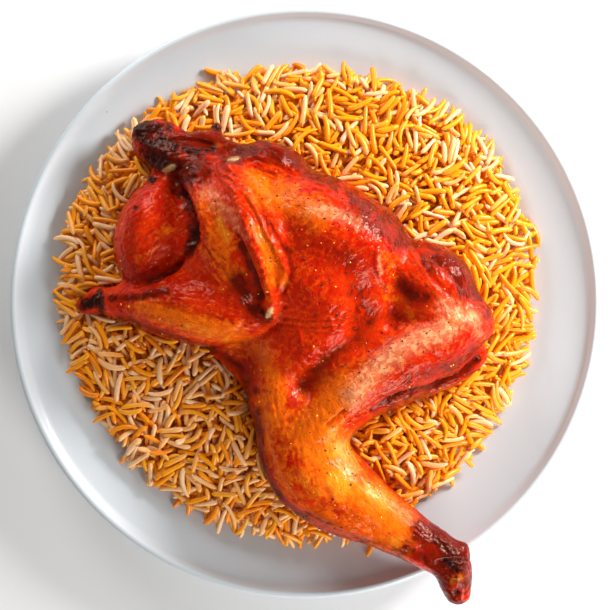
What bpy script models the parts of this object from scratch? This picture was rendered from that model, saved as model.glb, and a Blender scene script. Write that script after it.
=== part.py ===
"""Chicken mandi: a roast half chicken, skin side up, on a bed of long rice, on a white dinner plate.

Lengths below are millimetres, and MM turns them into metres where a mesh is made. +Z is up, the plate
stands on z = 0 with its axis on the Z axis, and the chicken's leg points to +X and -Y over the rim.
"""

import math
import random

import bmesh
import bpy
from mathutils import Matrix, Vector
from mathutils.bvhtree import BVHTree
from mathutils.geometry import delaunay_2d_cdt

MM = 0.001

# Plate: a coupe dinner plate, turned round the Z axis
PLATE_R = 140.0
WELL_R = 84.0
WELL_Z = 6.5
RISE_R = 135.5
RISE_Z = 21.0
RISE_POWER = 1.6
RIM_EDGE_R = 2.0
RIM_CENTRE_Z = 22.0
FOOT_OUT_R = 86.0
FOOT_IN_R = 81.0
FOOT_ROUND = 0.6
UNDER_Z = 1.8
WALL = 4.6
PLATE_STEPS = 60

# Rice: a low heap, a little wider towards the back left
RICE_R = 115.6
RICE_LEAN = (3.8, math.radians(150))
RICE_LOBES = (2.4, 3, math.radians(155))
RICE_PEAK = 27.0
RICE_EDGE = 2.4
RICE_FLATNESS = 5.0
RICE_SHOULDER = 0.8
GRAIN_LENGTH = 12.0
GRAIN_RISE = 1.5
GRAIN_PITCH = 7.0
GAP_DEPTH = 0.8
GAP_PITCH = 3.4
GAP_CLEAR = 2.0
EDGE_POINTS = 120
EDGE_RIPPLE = 2.6
HIDDEN_PITCH = 13.0
GAP_TO_PLATE = 0.5
SEED = 11

# Chicken: how far it stays clear of the bare heap, and the mesh steps
REST_GAP = 0.8
BESIDE_CHICKEN = 4.0
BODY_VOXEL = 2.0
BODY_SMOOTH = 18
SKIN_VOXEL = 1.5
SKIN_SMOOTH = 6
CHICKEN_TRIANGLES = 6200
RING_SIDES = 16
STEPS_PER_SPAN = 4

# Round masses: centre, half axes, turn about Z in degrees
BODY_MASSES = {
    "breast": ((12.0, 31.0, 38.0), (41.0, 25.0, 36.0), -31),
    "keel end": ((33.0, 33.0, 34.0), (15.0, 12.0, 26.0), -40),
    "belly": ((9.1, -10.5, 34.0), (38.0, 34.0, 29.0), -20),
    "flank": ((-9.5, -44.0, 32.0), (17.5, 31.0, 22.0), 10),
    "side skin": ((-27.0, -22.0, 27.0), (21.0, 13.0, 12.0), -38),
    "ribs": ((6.0, 10.0, 37.0), (40.0, 27.0, 33.5), -24),
    "hip": ((55.0, 6.0, 35.0), (26.0, 22.5, 27.5), -30),
    "shoulder": ((-16.0, 62.7, 36.0), (18.0, 11.5, 23.0), -10),
    "under wing": ((-41.0, 24.0, 34.0), (20.0, 29.0, 25.0), 12),
    "wing base": ((-32.0, 35.0, 39.0), (17.0, 29.0, 29.0), 14),
    "neck lobe": ((-70.5, 33.0, 30.0), (28.0, 18.0, 23.0), 70),
}

# Limbs: stations of x, y, z of the middle, half width and half height
BODY_LIMBS = {
    "thigh": (
        (75.3, -9.0, 36.0, 13.0, 20.0),
        (62.2, -15.0, 37.0, 17.7, 24.0),
        (43.7, -26.6, 37.0, 19.0, 26.0),
        (25.2, -38.5, 37.0, 16.0, 25.0),
        (7.0, -55.0, 36.0, 15.0, 23.0),
        (-2.6, -70.8, 35.0, 17.0, 21.0),
    ),
    "drumstick": (
        (-4.4, -67.5, 35.0, 18.6, 20.0),
        (3.0, -77.7, 35.0, 20.8, 21.5),
        (13.7, -87.0, 35.0, 20.0, 21.5),
        (25.3, -94.4, 35.0, 17.0, 19.0),
        (36.9, -101.4, 35.5, 13.8, 15.5),
        (49.3, -109.1, 36.0, 11.6, 12.5),
        (59.9, -115.0, 36.5, 10.2, 11.0),
    ),
}
FINE_LIMBS = {
    "ankle": (
        (55.0, -112.0, 36.2, 10.4, 11.0),
        (61.5, -116.0, 36.5, 10.0, 10.5),
        (67.6, -121.0, 36.5, 9.6, 10.0),
        (69.5, -130.0, 35.5, 8.0, 8.5),
        (70.8, -135.0, 35.0, 6.2, 7.0),
    ),
    "side edge": (
        (-43.9, -22.3, 27.0, 2.8, 4.0),
        (-30.7, -31.7, 28.0, 4.7, 5.0),
        (-22.8, -43.4, 28.0, 4.7, 5.0),
        (-19.5, -57.5, 28.0, 4.2, 5.0),
        (-18.5, -71.6, 27.5, 3.8, 5.0),
        (-14.3, -85.8, 27.0, 2.8, 4.0),
    ),
    "thigh hem": (
        (82.2, -24.4, 33.0, 3.7, 6.0),
        (69.6, -32.4, 33.0, 5.6, 8.0),
        (55.6, -38.4, 33.0, 5.6, 8.0),
        (41.7, -44.5, 32.0, 4.7, 7.0),
        (30.1, -51.1, 31.0, 2.8, 6.0),
    ),
    "drumette": (
        (-104.6, -1.2, 24.0, 4.0, 6.0),
        (-97.8, 0.2, 25.0, 6.0, 8.0),
        (-88.0, 0.2, 28.0, 8.2, 11.0),
        (-74.8, -0.2, 32.0, 12.4, 16.0),
        (-60.5, -1.2, 36.0, 16.3, 20.0),
        (-46.4, -2.5, 38.0, 18.0, 22.0),
        (-32.5, -4.4, 39.0, 16.0, 22.0),
        (-20.9, -8.0, 40.0, 9.6, 18.0),
    ),
    "wing near ridge": (
        (-48.0, 57.0, 42.0, 9.0, 14.0),
        (-45.5, 44.5, 44.0, 11.0, 18.0),
        (-41.5, 30.7, 46.0, 11.5, 19.0),
        (-36.0, 17.0, 47.0, 10.5, 18.0),
        (-28.5, 4.3, 48.0, 8.0, 15.0),
    ),
    "wing far ridge": (
        (-32.4, 59.3, 48.0, 7.0, 15.0),
        (-27.6, 43.7, 52.0, 8.0, 18.0),
        (-24.3, 30.1, 54.0, 8.0, 19.0),
        (-20.7, 16.7, 54.0, 7.2, 18.0),
        (-17.2, 4.7, 52.0, 6.2, 16.0),
        (-15.1, -4.7, 50.0, 5.4, 14.0),
        (-16.1, -10.6, 47.0, 4.0, 10.0),
    ),
    "wing web": (
        (-25.0, 51.2, 54.0, 7.0, 12.0),
        (-19.0, 38.7, 57.0, 9.5, 13.0),
        (-14.0, 27.5, 58.0, 10.5, 13.0),
        (-11.5, 16.5, 55.0, 9.5, 12.0),
        (-12.5, 9.1, 51.0, 7.0, 10.0),
    ),
    "wing tip": (
        (-73.7, 71.3, 30.0, 6.5, 10.0),
        (-63.1, 67.7, 33.0, 8.9, 12.0),
        (-52.7, 64.7, 35.0, 8.4, 13.0),
        (-41.8, 61.2, 38.0, 8.4, 13.0),
        (-32.2, 56.9, 43.0, 7.4, 13.0),
    ),
    "wing bone": (
        (-65.0, 75.6, 36.0, 3.0, 6.0),
        (-53.3, 75.1, 37.0, 3.6, 6.0),
        (-41.3, 73.7, 37.0, 3.6, 6.0),
        (-31.0, 70.0, 36.0, 3.6, 6.0),
    ),
}
FINE_MASSES = {
    "drumette knuckle": ((-104.0, -1.8, 25.0), (5.0, 4.4, 5.0), 0),
    "drumette crumb": ((-98.5, 4.4, 27.0), (4.5, 3.6, 5.0), 30),
    "tip knuckle": ((-75.3, 79.0, 32.0), (6.0, 5.4, 6.0), 20),
    "tip crumb back": ((-68.7, 82.2, 33.0), (4.2, 4.0, 5.0), 0),
    "tip crumb right": ((-62.1, 80.2, 34.0), (4.2, 4.0, 5.0), 0),
    "tip crumb left": ((-77.4, 72.7, 30.0), (4.2, 4.0, 6.0), 0),
    "charred berry": ((-41.2, 81.0, 33.0), (3.6, 3.6, 5.0), 0),
    "tip skin": ((-38.6, 68.1, 37.0), (7.5, 5.5, 6.0), 15),
    "wrist bone": ((-63.1, 61.7, 41.0), (3.7, 2.6, 4.0), 35),
    "charred flake": ((-70.1, 58.0, 31.0), (4.4, 2.8, 6.0), 35),
    "ankle knuckle": ((71.4, -114.5, 38.0), (5.0, 4.6, 5.0), 0),
}


def plate_top(radius):
    """Height of the plate's upper face: a flat well that rises in one easy curve towards the rim."""
    rise = max(0.0, (radius - WELL_R) / (RISE_R - WELL_R))
    return WELL_Z + (RISE_Z - WELL_Z) * rise**RISE_POWER


def rice_radius(angle):
    lean, lean_at = RICE_LEAN
    lobe, lobes, lobe_at = RICE_LOBES
    return RICE_R + lean * math.cos(angle - lean_at) + lobe * math.cos(lobes * (angle - lobe_at))


def rice_top(x, y):
    """Height of the heap without its grains, or None beyond its edge."""
    edge = rice_radius(math.atan2(y, x))
    share = math.hypot(x, y) / edge
    if share >= 1:
        return None
    low = plate_top(edge) + RICE_EDGE
    return low + (RICE_PEAK - low) * (1 - share**RICE_FLATNESS) ** RICE_SHOULDER


def material(name, colour, roughness, coat=0.0):
    made = bpy.data.materials.new(name)
    made.use_nodes = True
    shader = made.node_tree.nodes["Principled BSDF"]
    shader.inputs["Base Color"].default_value = (*colour, 1)
    shader.inputs["Roughness"].default_value = roughness
    shader.inputs["Coat Weight"].default_value = coat
    return made


def add_object(name, mesh, collection, finish):
    made = bpy.data.objects.new(name, mesh)
    mesh.materials.clear()
    mesh.materials.append(finish)
    mesh.shade_smooth()
    collection.objects.link(made)
    return made


def plate_profile():
    """The plate's section from the middle of the well, over the rim and back under to the middle."""
    points = [(0.0, WELL_Z)]
    rises = 5
    for i in range(rises + 1):
        radius = WELL_R + (RISE_R - WELL_R) * i / rises
        points.append((radius, plate_top(radius)))
    rim_turns = 4
    for i in range(rim_turns + 1):
        angle = math.radians(125 - 185 * i / rim_turns)
        centre_r = PLATE_R - RIM_EDGE_R
        points.append((centre_r + RIM_EDGE_R * math.cos(angle), RIM_CENTRE_Z + RIM_EDGE_R * math.sin(angle)))
    for share in (1, 0.45):
        radius = FOOT_OUT_R + (RISE_R - FOOT_OUT_R) * share
        points.append((radius, plate_top(radius) - WALL))
    points += [
        (FOOT_OUT_R + FOOT_ROUND, UNDER_Z),
        (FOOT_OUT_R, FOOT_ROUND),
        (FOOT_OUT_R - FOOT_ROUND, 0.0),
        (FOOT_IN_R + FOOT_ROUND, 0.0),
        (FOOT_IN_R, FOOT_ROUND),
        (FOOT_IN_R - FOOT_ROUND, UNDER_Z),
        (0.0, UNDER_Z),
    ]
    return points


def build_plate(collection):
    points = plate_profile()
    mesh = bpy.data.meshes.new("plate")
    edges = [(i, i + 1) for i in range(len(points) - 1)]
    mesh.from_pydata([(r * MM, 0, z * MM) for r, z in points], edges, [])
    glaze = material("white glaze", (0.80, 0.80, 0.79), 0.18, coat=0.5)
    plate = add_object("plate", mesh, collection, glaze)
    turn = plate.modifiers.new("turn", "SCREW")
    turn.steps = turn.render_steps = PLATE_STEPS
    turn.use_merge_vertices = True
    turn.merge_threshold = 0.00001
    return plate


def curve_between(stations, span, t):
    """Catmull-Rom value of every column of the stations at t along one span."""
    last = len(stations) - 1
    a, b, c, d = (stations[min(max(span + k, 0), last)] for k in (-1, 0, 1, 2))
    return [
        0.5 * (2 * q + (r - p) * t + (2 * p - 5 * q + 4 * r - s) * t * t + (3 * q - p - 3 * r + s) * t**3)
        for p, q, r, s in zip(a, b, c, d)
    ]


def add_ring(shell, centre, side, half_width, half_height):
    ring = []
    for i in range(RING_SIDES):
        angle = 2 * math.pi * i / RING_SIDES
        offset = side * (half_width * math.cos(angle)) + Vector((0, 0, half_height * math.sin(angle)))
        ring.append(shell.verts.new((centre + offset) * MM))
    return ring


def add_limb(shell, stations):
    """A closed tube of elliptic sections through the stations, with rounded ends."""
    rows = [
        curve_between(stations, span, step / STEPS_PER_SPAN)
        for span in range(len(stations) - 1)
        for step in range(STEPS_PER_SPAN)
    ]
    rows.append(list(stations[-1]))
    centres = [Vector(row[:3]) for row in rows]
    rings = []
    for i, (centre, row) in enumerate(zip(centres, rows)):
        along = centres[min(i + 1, len(rows) - 1)] - centres[max(i - 1, 0)]
        side = Vector((-along.y, along.x, 0)).normalized()
        heading = Vector((along.x, along.y, 0)).normalized()
        if i == 0:
            for share in (0.85, 0.5):
                back = centre - heading * row[3] * share
                taper = math.sqrt(1 - share**2)
                rings.append(add_ring(shell, back, side, row[3] * taper, row[4] * taper))
        rings.append(add_ring(shell, centre, side, row[3], row[4]))
        if i == len(rows) - 1:
            for share in (0.5, 0.85):
                front = centre + heading * row[3] * share
                taper = math.sqrt(1 - share**2)
                rings.append(add_ring(shell, front, side, row[3] * taper, row[4] * taper))
    for first, second in zip(rings, rings[1:]):
        for i in range(RING_SIDES):
            j = (i + 1) % RING_SIDES
            shell.faces.new((first[i], first[j], second[j], second[i]))
    shell.faces.new(rings[0][::-1])
    shell.faces.new(rings[-1])


def add_mass(shell, centre, half_axes, turn):
    place = (
        Matrix.Translation(Vector(centre) * MM)
        @ Matrix.Rotation(math.radians(turn), 4, "Z")
        @ Matrix.Diagonal((*(Vector(half_axes) * MM), 1))
    )
    bmesh.ops.create_uvsphere(shell, u_segments=24, v_segments=14, radius=1, matrix=place)


def shells(limbs, masses):
    shell = bmesh.new()
    for stations in limbs.values():
        add_limb(shell, stations)
    for centre, half_axes, turn in masses.values():
        add_mass(shell, centre, half_axes, turn)
    bmesh.ops.recalc_face_normals(shell, faces=shell.faces)
    return shell


def with_modifiers(shell, settings):
    """The mesh that comes out of a row of modifiers: each is a type and its settings."""
    mesh = bpy.data.meshes.new("step")
    shell.to_mesh(mesh)
    shell.free()
    helper = bpy.data.objects.new("step", mesh)
    bpy.context.scene.collection.objects.link(helper)
    for kind, values in settings:
        modifier = helper.modifiers.new(kind, kind)
        for key, value in values.items():
            setattr(modifier, key, value)
    graph = bpy.context.evaluated_depsgraph_get()
    made = bpy.data.meshes.new_from_object(helper.evaluated_get(graph))
    bpy.data.objects.remove(helper)
    bpy.data.meshes.remove(mesh)
    shell = bmesh.new()
    shell.from_mesh(made)
    bpy.data.meshes.remove(made)
    return shell


def fuse(shell, voxel, smooth):
    """One skin over all the shells, with its creases eased."""
    return with_modifiers(
        shell,
        [
            ("REMESH", {"mode": "VOXEL", "voxel_size": voxel * MM}),
            ("SMOOTH", {"factor": 0.5, "iterations": smooth}),
        ],
    )


def joined(first, second):
    mesh = bpy.data.meshes.new("joined")
    second.to_mesh(mesh)
    second.free()
    first.from_mesh(mesh)
    bpy.data.meshes.remove(mesh)
    return first


def rest_on_rice(shell):
    """Flattens what would sink into the heap, so that the underside follows the rice."""
    for vert in shell.verts:
        top = rice_top(vert.co.x / MM, vert.co.y / MM)
        if top is not None:
            vert.co.z = max(vert.co.z, (top + REST_GAP) * MM)


def build_chicken(collection):
    body = fuse(shells(BODY_LIMBS, BODY_MASSES), BODY_VOXEL, BODY_SMOOTH)
    skin = fuse(joined(body, shells(FINE_LIMBS, FINE_MASSES)), SKIN_VOXEL, SKIN_SMOOTH)
    rest_on_rice(skin)
    skin = fuse(skin, SKIN_VOXEL, 1)
    rest_on_rice(skin)
    keep = CHICKEN_TRIANGLES / (2 * len(skin.faces))
    skin = with_modifiers(skin, [("DECIMATE", {"ratio": keep})])
    rest_on_rice(skin)
    mesh = bpy.data.meshes.new("chicken")
    skin.to_mesh(mesh)
    skin.free()
    roast = material("roast skin", (0.55, 0.09, 0.015), 0.32, coat=0.4)
    return add_object("chicken", mesh, collection, roast)


def honeycomb(pitch, rng, jitter):
    """Points over the heap in staggered rows, each moved a little at random."""
    row_step = pitch * math.sqrt(3) / 2
    reach = int(RICE_R * 1.1 / row_step) + 1
    for row in range(-reach, reach + 1):
        for column in range(-reach, reach + 1):
            x = (column + 0.5 * (row % 2)) * pitch + rng.uniform(-jitter, jitter) * pitch
            y = row * row_step + rng.uniform(-jitter, jitter) * pitch
            yield x, y


def edge_share(x, y):
    return math.hypot(x, y) / rice_radius(math.atan2(y, x))


def rice_surface(chicken):
    """Points of the heap's upper face: raised ridges of grains with gaps between, smooth under the chicken."""
    graph = bpy.context.evaluated_depsgraph_get()
    tree = BVHTree.FromObject(chicken, graph)
    rng = random.Random(SEED)

    def hidden(x, y):
        """Whether the chicken is over or right beside this place on the heap."""
        at = Vector((x, y, rice_top(x, y))) * MM
        return tree.find_nearest(at, BESIDE_CHICKEN * MM)[0] is not None

    points = []
    for x, y in honeycomb(GRAIN_PITCH, rng, 0.22):
        angle = rng.uniform(0, math.pi)
        rise = GRAIN_RISE * rng.uniform(0.6, 1.2)
        for along, share in ((-0.36, 0.75), (0, 1), (0.36, 0.75)):
            px = x + along * GRAIN_LENGTH * math.cos(angle)
            py = y + along * GRAIN_LENGTH * math.sin(angle)
            if edge_share(px, py) < 0.965 and not hidden(px, py):
                points.append((px, py, rice_top(px, py) + rise * share))
    ridges = list(points)
    for x, y in honeycomb(GAP_PITCH, rng, 0.2):
        clear = all(math.hypot(x - px, y - py) > GAP_CLEAR for px, py, _ in ridges)
        if edge_share(x, y) < 0.965 and clear and not hidden(x, y):
            points.append((x, y, rice_top(x, y) - GAP_DEPTH * rng.uniform(0.5, 1)))
    for x, y in honeycomb(HIDDEN_PITCH, rng, 0):
        if edge_share(x, y) < 0.95 and hidden(x, y):
            points.append((x, y, rice_top(x, y)))
    return points, rng


def rice_outline(rng):
    """Points round the heap's foot, in and out by the size of a grain."""
    outline = []
    for i in range(EDGE_POINTS):
        angle = 2 * math.pi * i / EDGE_POINTS
        radius = rice_radius(angle) + rng.uniform(-1, 1) * EDGE_RIPPLE
        outline.append((radius * math.cos(angle), radius * math.sin(angle)))
    return outline


def add_sheet(solid, outline, inner, height_of, upward):
    """Adds a triangulated sheet inside the outline and returns its vertices along the outline."""
    flat = [Vector(p[:2]) for p in outline] + [Vector(p[:2]) for p in inner]
    ring = [(i, (i + 1) % len(outline)) for i in range(len(outline))]
    places, _, faces, sources, _, _ = delaunay_2d_cdt(flat, ring, [], 1, 0.001)
    verts = {}
    for index, (place, source) in enumerate(zip(places, sources)):
        if source:
            verts[index] = solid.verts.new(Vector((*place, height_of(source[0], place))) * MM)
    for face in faces:
        corners = [verts[i] for i in face]
        solid.faces.new(corners if upward else corners[::-1])
    placed = {source[0]: verts[index] for index, source in enumerate(sources) if source}
    return [placed[i] for i in range(len(outline))]


def build_rice(collection, chicken):
    surface, rng = rice_surface(chicken)
    outline = rice_outline(rng)
    count = len(outline)

    def upper(source, place):
        return plate_top(place.length) + RICE_EDGE if source < count else surface[source - count][2]

    def lower(_, place):
        return plate_top(place.length) + GAP_TO_PLATE

    solid = bmesh.new()
    top = add_sheet(solid, outline, surface, upper, True)
    floor = [point for point in honeycomb(HIDDEN_PITCH, rng, 0) if edge_share(*point) < 0.93]
    bottom = add_sheet(solid, outline, floor, lower, False)
    for i in range(count):
        j = (i + 1) % count
        solid.faces.new((top[i], bottom[i], bottom[j], top[j]))
    bmesh.ops.delete(solid, geom=[v for v in solid.verts if not v.link_faces], context="VERTS")
    mesh = bpy.data.meshes.new("rice")
    solid.to_mesh(mesh)
    solid.free()
    golden = material("golden rice", (0.80, 0.42, 0.10), 0.45)
    return add_object("rice", mesh, collection, golden)


def main():
    for old in list(bpy.data.objects):
        bpy.data.objects.remove(old)
    collection = bpy.data.collections.new("chicken mandi")
    bpy.context.scene.collection.children.link(collection)
    build_plate(collection)
    chicken = build_chicken(collection)
    build_rice(collection, chicken)


main()
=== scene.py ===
"""Half a roast chicken on a bed of long rice on a white dinner plate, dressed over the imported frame.

Sizes in the panel are metres. The constants below are millimetres, and MM turns them into metres. Places
of marks on the skin are in units of the view from above: (305.5, 302.5) is the plate's axis, v runs
down the view, and one unit is VIEW_MM millimetres at the height of the rim.
"""

import math

import bmesh
import bpy
import numpy as np
from bpy.props import FloatProperty, FloatVectorProperty, IntProperty, PointerProperty
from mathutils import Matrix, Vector, noise
from mathutils.bvhtree import BVHTree
from mathutils.kdtree import KDTree


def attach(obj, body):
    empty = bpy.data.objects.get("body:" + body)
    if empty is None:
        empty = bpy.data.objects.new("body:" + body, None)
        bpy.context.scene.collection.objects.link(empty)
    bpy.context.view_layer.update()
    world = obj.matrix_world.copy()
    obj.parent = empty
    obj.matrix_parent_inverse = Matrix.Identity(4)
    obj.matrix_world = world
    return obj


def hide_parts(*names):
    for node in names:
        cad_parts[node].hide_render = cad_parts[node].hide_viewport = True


bl_info = {
    "name": "Chicken mandi",
    "version": (1, 0, 0),
    "blender": (4, 5, 0),
    "location": "View3D > Sidebar > Mandi",
    "description": "Dresses a plate, a heap of rice and a roast half chicken",
    "category": "Add Mesh",
}

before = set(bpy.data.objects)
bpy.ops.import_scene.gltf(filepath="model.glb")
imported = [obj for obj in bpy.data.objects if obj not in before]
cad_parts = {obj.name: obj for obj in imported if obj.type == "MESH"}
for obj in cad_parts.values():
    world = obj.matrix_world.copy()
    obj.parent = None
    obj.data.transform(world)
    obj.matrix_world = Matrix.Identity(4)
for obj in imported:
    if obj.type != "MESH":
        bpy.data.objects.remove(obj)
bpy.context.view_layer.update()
MM = 0.001

# View from above
VIEW_MM = 0.4722
VIEW_AXIS = (305.5, 302.5)
EYE = (-0.24, -1.2, 664.0)
RIM_Z = 24.0

# Plate, the same section as the frame's
PLATE_R = 140.0
WELL_R = 84.0
WELL_Z = 6.5
RISE_R = 135.5
RISE_Z = 21.0
RISE_POWER = 1.6
RIM_EDGE_R = 2.0
RIM_CENTRE_Z = 22.0
FOOT_OUT_R = 86.0
FOOT_IN_R = 81.0
FOOT_ROUND = 0.6
UNDER_Z = 1.8
WALL = 4.6

# Rice heap, the same rest surface as the frame's
RICE_R = 115.6
RICE_LEAN = (3.8, math.radians(150))
RICE_LOBES = (2.4, 3, math.radians(155))
RICE_PEAK = 27.0
RICE_EDGE = 2.4
RICE_FLATNESS = 5.0
RICE_SHOULDER = 0.8
CELL = 0.7
MAP_HALF = 132.0
NO_COVER = 1e6


def plate_top(radius):
    """Height of the plate's upper face at a radius, in mm; takes numbers or arrays."""
    rise = np.clip((np.asarray(radius, float) - WELL_R) / (RISE_R - WELL_R), 0, None)
    return WELL_Z + (RISE_Z - WELL_Z) * rise**RISE_POWER


def rice_radius(angle):
    lean, lean_at = RICE_LEAN
    lobe, lobes, lobe_at = RICE_LOBES
    return RICE_R + lean * np.cos(angle - lean_at) + lobe * np.cos(lobes * (angle - lobe_at))


def rice_share(x, y):
    """How far out a place is on the heap: 0 on the axis, 1 at the heap's foot."""
    return np.hypot(x, y) / rice_radius(np.arctan2(y, x))


def rice_top(x, y):
    """Height of the heap's rest surface, in mm, level with the foot beyond it."""
    edge = rice_radius(np.arctan2(y, x))
    low = plate_top(edge) + RICE_EDGE
    dome = np.clip(1 - rice_share(x, y) ** RICE_FLATNESS, 0, None) ** RICE_SHOULDER
    return low + (RICE_PEAK - low) * dome


def smoothstep(low, high, value):
    t = np.clip((value - low) / (high - low), 0, 1)
    return t * t * (3 - 2 * t)


class Value:
    """A socket in sums: each operator adds the Math node that works it out."""

    def __init__(self, shader, socket):
        self.shader = shader
        self.socket = socket

    def math(self, operation, *terms):
        return self.shader.add("ShaderNodeMath", {"operation": operation}, dict(enumerate(terms)))

    def __add__(self, other):
        return self.math("ADD", self, other)

    __radd__ = __add__

    def __sub__(self, other):
        return self.math("SUBTRACT", self, other)

    def __rsub__(self, other):
        return self.math("SUBTRACT", other, self)

    def __mul__(self, other):
        return self.math("MULTIPLY", self, other)

    __rmul__ = __mul__

    def __gt__(self, other):
        return self.math("GREATER_THAN", self, other)

    def ramp(self, low, high):
        """0 below low, 1 above high, eased between."""
        sockets = {"Value": self, "From Min": low, "From Max": high}
        return self.shader.add("ShaderNodeMapRange", {"interpolation_type": "SMOOTHSTEP"}, sockets)


class Shader:
    """One material with a Principled shader, and the nodes that feed it."""

    def __init__(self, name, **fixed):
        self.material = bpy.data.materials.new(name)
        self.material.use_nodes = True
        self.tree = self.material.node_tree
        self.principled = self.tree.nodes["Principled BSDF"]
        for key, value in fixed.items():
            self.principled.inputs[key.replace("_", " ")].default_value = value
        self.place = self.add("ShaderNodeTexCoord", {}, {}, "Object")

    def add(self, kind, settings, sockets, output=0):
        """A node: its settings first, then the values or links of its sockets."""
        node = self.tree.nodes.new(kind)
        for key, value in settings.items():
            setattr(node, key, value)
        for key, value in sockets.items():
            if isinstance(value, Value):
                self.tree.links.new(value.socket, node.inputs[key])
            else:
                node.inputs[key].default_value = value
        return Value(self, node.outputs[output])

    def feed(self, socket, value):
        self.tree.links.new(value.socket, self.principled.inputs[socket])

    def noise(self, size, detail=3.0, distortion=0.0):
        """Soft noise from 0 to 1 with blotches of that size in mm."""
        sockets = {"Vector": self.place, "Scale": 1 / (size * MM), "Detail": detail, "Distortion": distortion}
        return self.add("ShaderNodeTexNoise", {}, sockets, "Fac")

    def cells(self, size):
        """Distance to the middle of cells of that size in mm, in cells."""
        sockets = {"Vector": self.place, "Scale": 1 / (size * MM)}
        return self.add("ShaderNodeTexVoronoi", {}, sockets, "Distance")

    def mask(self, name):
        return self.add("ShaderNodeAttribute", {"attribute_name": name}, {}, "Fac")

    def mix(self, factor, first, second):
        """Colour that goes from first to second."""
        sockets = {0: factor, 6: first, 7: second}
        return self.add("ShaderNodeMix", {"data_type": "RGBA"}, sockets, 2)

    def bump(self, height, depth):
        """A bump of that depth in mm on the shader's normal."""
        sockets = {"Height": height, "Distance": depth * MM, "Strength": 1.0}
        self.feed("Normal", self.add("ShaderNodeBump", {}, sockets, "Normal"))


def colour(values):
    return (*values, 1.0)


def dress(piece, shader, material_slot, *nodes):
    """Gives a piece its material, puts it under the root body and hides the frame's nodes that it stands for;
    material_slot is not used.
    """
    piece.data.materials.clear()
    piece.data.materials.append(shader.material)
    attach(piece, "root")
    if nodes:
        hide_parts(*nodes)
    return piece


def mesh_piece(name, verts, faces, edges=()):
    """A smooth mesh object in the scene."""
    mesh = bpy.data.meshes.new(name)
    mesh.from_pydata(verts, edges, faces)
    mesh.shade_smooth()
    piece = bpy.data.objects.new(name, mesh)
    bpy.context.scene.collection.objects.link(piece)
    return piece


def add_mask(mesh, name, values):
    layer = mesh.attributes.new(name, "FLOAT", "POINT")
    layer.data.foreach_set("value", np.asarray(values, np.float32))


def vertex_places(mesh):
    """The mesh's vertices as an array of rows in mm."""
    places = np.zeros(len(mesh.vertices) * 3)
    mesh.vertices.foreach_get("co", places)
    return places.reshape(-1, 3) / MM


def set_vertex_places(mesh, places):
    mesh.vertices.foreach_set("co", (places * MM).ravel())
    mesh.update()


def vertex_normals(mesh):
    normals = np.zeros(len(mesh.vertices) * 3)
    mesh.vertex_normals.foreach_get("vector", normals)
    return normals.reshape(-1, 3)


def tint(name, description, default):
    """A colour that a user can change."""
    return FloatVectorProperty(name=name, description=description, subtype="COLOR", default=default)


def span(name, description, default):
    """A length in metres that a user can change."""
    return FloatProperty(name=name, description=description, unit="LENGTH", default=default, precision=5)


class PlateSettings(bpy.types.PropertyGroup):
    """Size and glaze of the plate."""

    steps: IntProperty(name="Steps", description="Facets round the plate", default=192, min=48, max=512)
    glaze: tint("Glaze", "Colour of the glaze", (0.645, 0.70, 0.73))
    roughness: FloatProperty(
        name="Roughness", description="Roughness of the glaze", subtype="FACTOR", default=0.34, min=0, max=1
    )


class ChickenSettings(bpy.types.PropertyGroup):
    """Grain of the chicken's mesh and the colours of its skin."""

    voxel: span("Voxel", "Size of the skin's mesh cells", 0.0008)
    red: tint("Red", "Deep red of the skin", (0.48, 0.006, 0.001))
    scarlet: tint("Scarlet", "Bright red of thinner skin", (0.90, 0.040, 0.002))
    amber: tint("Amber", "Orange of fatty skin", (1.0, 0.165, 0.004))
    gold: tint("Gold", "Yellow of the knee and the bones", (1.0, 0.40, 0.02))
    # Brown is both real browning and painted shade in creases, hollows and on the steep sides
    brown: tint("Brown", "Brown of creases and edges", (0.15, 0.006, 0.001))
    char: tint("Char", "Black brown of the charred joints", (0.022, 0.004, 0.003))
    # Rosy colour painted where the sheen falls on the taut skin: a painted sheen
    painted_sheen: tint("Fat", "Rosy bloom of the taut fatty skin", (1.0, 0.42, 0.19))
    pale: tint("Pale", "Cream of bare gristle", (0.68, 0.43, 0.19))


class RiceSettings(bpy.types.PropertyGroup):
    """Number, size and colours of the grains."""

    grains: IntProperty(
        name="Grains", description="Loose grains laid on the core", default=3600, min=100, max=6000
    )
    length: span("Length", "Mean length of a grain", 0.0134)
    width: span("Width", "Mean width of a grain", 0.0025)
    cream: tint("Cream", "Plain grains", (1.0, 0.62, 0.33))
    yellow: tint("Yellow", "Lightly stained grains", (1.0, 0.385, 0.005))
    orange: tint("Orange", "Fully stained grains", (1.0, 0.335, 0.002))


class PepperSettings(bpy.types.PropertyGroup):
    """Number and size of the crumbs of spice."""

    crumbs: IntProperty(name="Crumbs", description="Dark crumbs on the skin", default=420, min=10, max=2000)
    size: span("Size", "Mean radius of a crumb", 0.00034)


class StageSettings(bpy.types.PropertyGroup):
    """Floor and lights of the studio."""

    floor: tint("Floor", "Colour of the floor", (0.9, 0.9, 0.9))
    key: FloatProperty(
        name="Key", description="Power of the soft key light", unit="POWER", default=5.9, min=0
    )
    sky: FloatProperty(
        name="Sky", description="Strength of the light from all round", subtype="FACTOR", default=0.24, min=0
    )


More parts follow.
